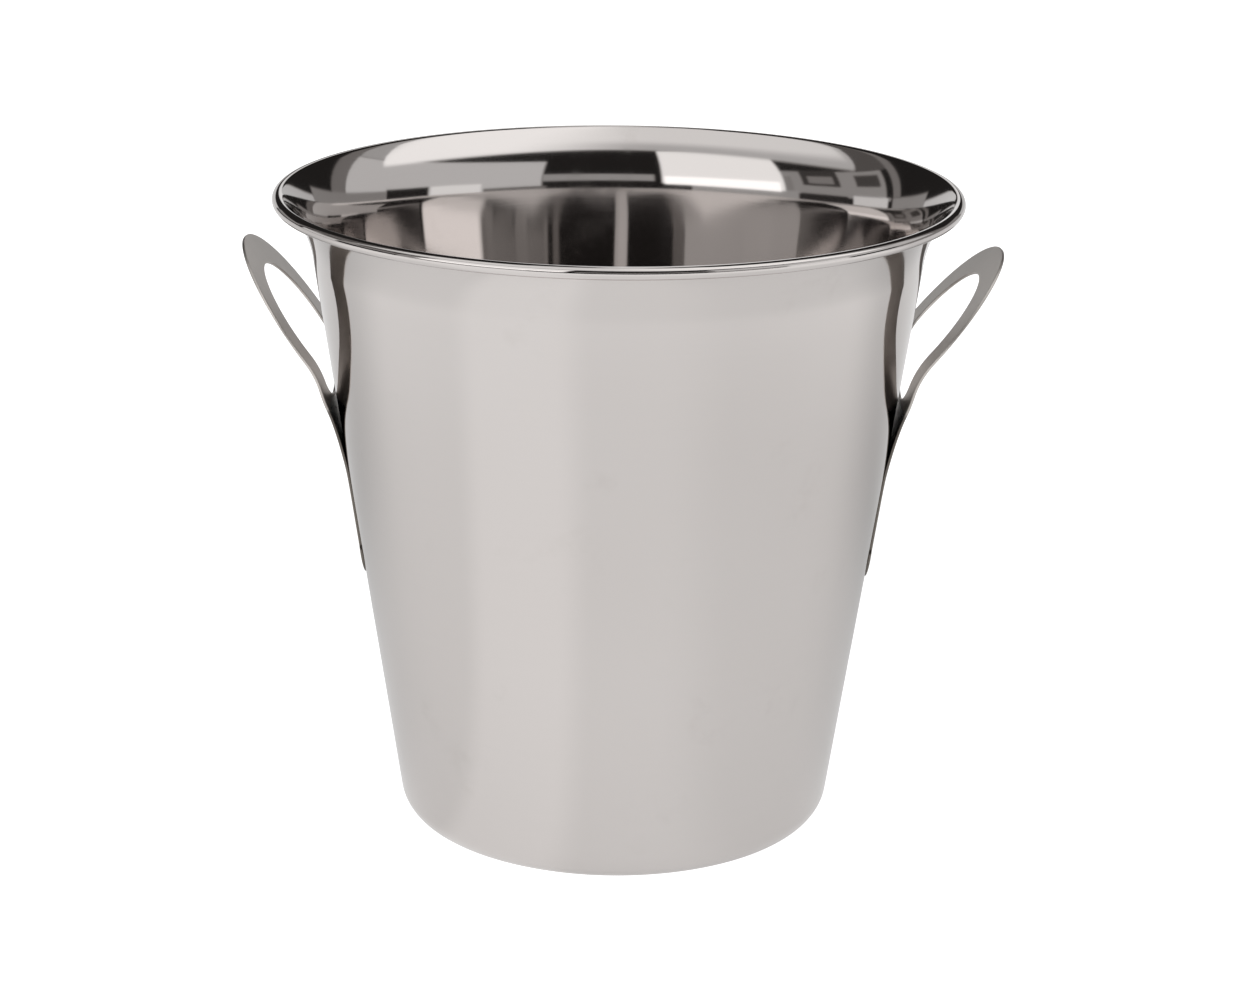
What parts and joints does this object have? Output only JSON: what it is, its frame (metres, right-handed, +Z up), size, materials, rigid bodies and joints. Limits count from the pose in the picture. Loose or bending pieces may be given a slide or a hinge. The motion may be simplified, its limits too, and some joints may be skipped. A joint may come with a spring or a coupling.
{
  "type": "champagne bucket",
  "caption": "Tapered sheet-metal wine and champagne bucket with a flared mouth, a rolled edge and flat strap handles with finger holes.",
  "frame": {"origin": "on the bucket's axis, at the plane that it stands on", "axes": "+Z up along the bucket's axis; the handles lie along +X and -X; -Y is the front"},
  "size_m": [0.2434, 0.22, 0.2095],
  "materials": {
    "polished_sheet": "mirror-polished stainless steel sheet",
    "satin_strap": "satin stainless steel strap",
    "weld_metal": "resistance spot weld, ground"
  },
  "bodies": {
    "root": {"bucket_shell": "polished_sheet", "left_handle": "satin_strap", "right_handle": "satin_strap", "left_handle_welds": "weld_metal", "right_handle_welds": "weld_metal"}
  },
  "joints": []
}
